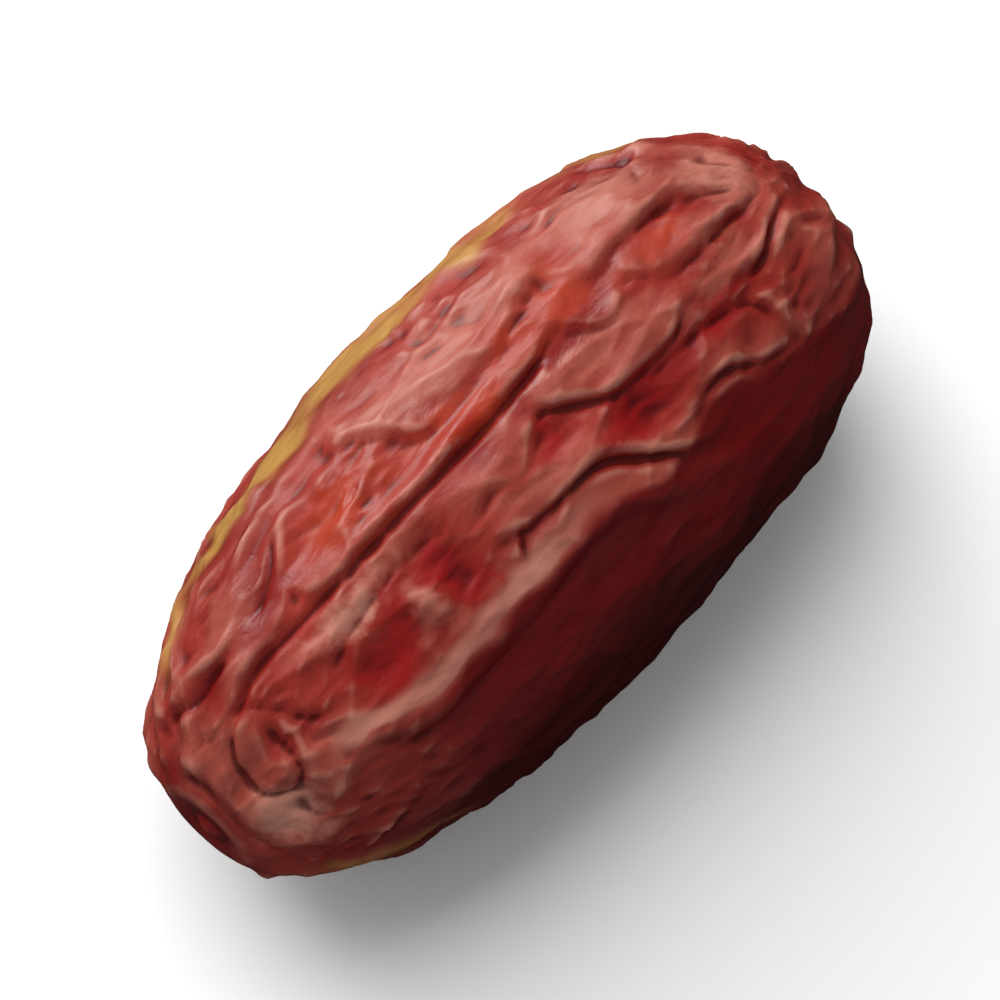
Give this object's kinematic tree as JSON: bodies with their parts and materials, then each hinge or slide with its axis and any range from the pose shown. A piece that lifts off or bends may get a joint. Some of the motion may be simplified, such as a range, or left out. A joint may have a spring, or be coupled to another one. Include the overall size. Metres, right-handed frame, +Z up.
{
  "type": "date fruit",
  "caption": "Whole dried date, a plump oblong fruit with long wrinkled skin folds, lying on its side on a small flat spot.",
  "frame": {"origin": "under the middle of the fruit, on the surface that it lies on", "axes": "+X along the fruit from its stem end to its pointed end, +Z up, away from the surface it lies on"},
  "size_m": [0.048, 0.0232, 0.0216],
  "materials": {
    "date_skin": "dark red-brown dried fruit skin, satin gloss"
  },
  "bodies": {
    "root": {"date_fruit": "date_skin"}
  },
  "joints": []
}
